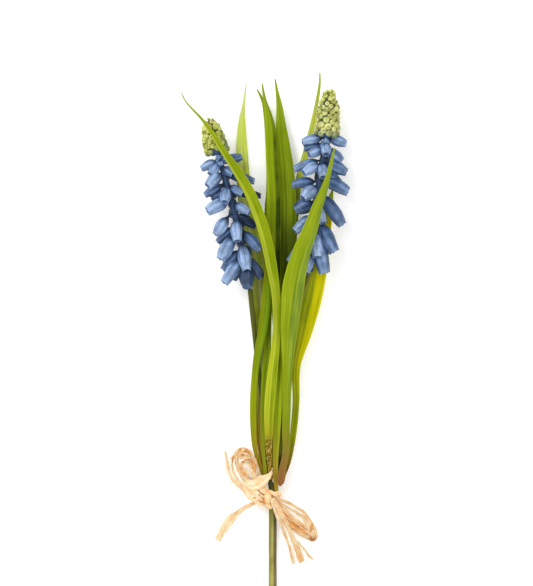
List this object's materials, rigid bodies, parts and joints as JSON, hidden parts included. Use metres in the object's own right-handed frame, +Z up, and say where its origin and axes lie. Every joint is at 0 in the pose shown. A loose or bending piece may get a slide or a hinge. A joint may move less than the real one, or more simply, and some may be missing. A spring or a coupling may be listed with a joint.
{
  "type": "grape hyacinth",
  "caption": "Cut grape hyacinth bunch lying flat: blue bell florets and yellow-green buds on leafless stalks among long folded leaves, tied with a raffia bow.",
  "frame": {"origin": "on the resting surface, under the knot of the raffia tie", "axes": "+Y along the bunch, from the cut stalk ends to the flower heads; +Z up from the surface it lies on; +X to the right with the heads away from the viewer"},
  "size_m": [0.0761, 0.2573, 0.0217],
  "materials": {
    "stalk_green": "satin",
    "floret_blue": "matte",
    "bud_yellow": "matte",
    "leaf_green": "satin",
    "leaf_pale": "satin",
    "leaf_olive": "satin",
    "raffia_straw": "matte"
  },
  "bodies": {
    "root": {"stalk_left": "stalk_green", "stalk_right": "stalk_green", "florets_left": "floret_blue", "florets_right": "floret_blue", "buds_left": "bud_yellow", "buds_right": "bud_yellow", "leaf_front_left": "leaf_green", "leaf_front_right": "leaf_green", "leaf_right_side": "leaf_pale", "leaf_behind_right_head": "leaf_green", "leaf_behind_left_head": "leaf_pale", "leaf_left_side": "leaf_green", "leaf_centre_thin": "leaf_olive", "leaf_centre_left": "leaf_olive", "leaf_centre_right": "leaf_olive", "raffia_tie": "raffia_straw", "raffia_bow_left": "raffia_straw", "raffia_bow_right": "raffia_straw"}
  },
  "joints": []
}
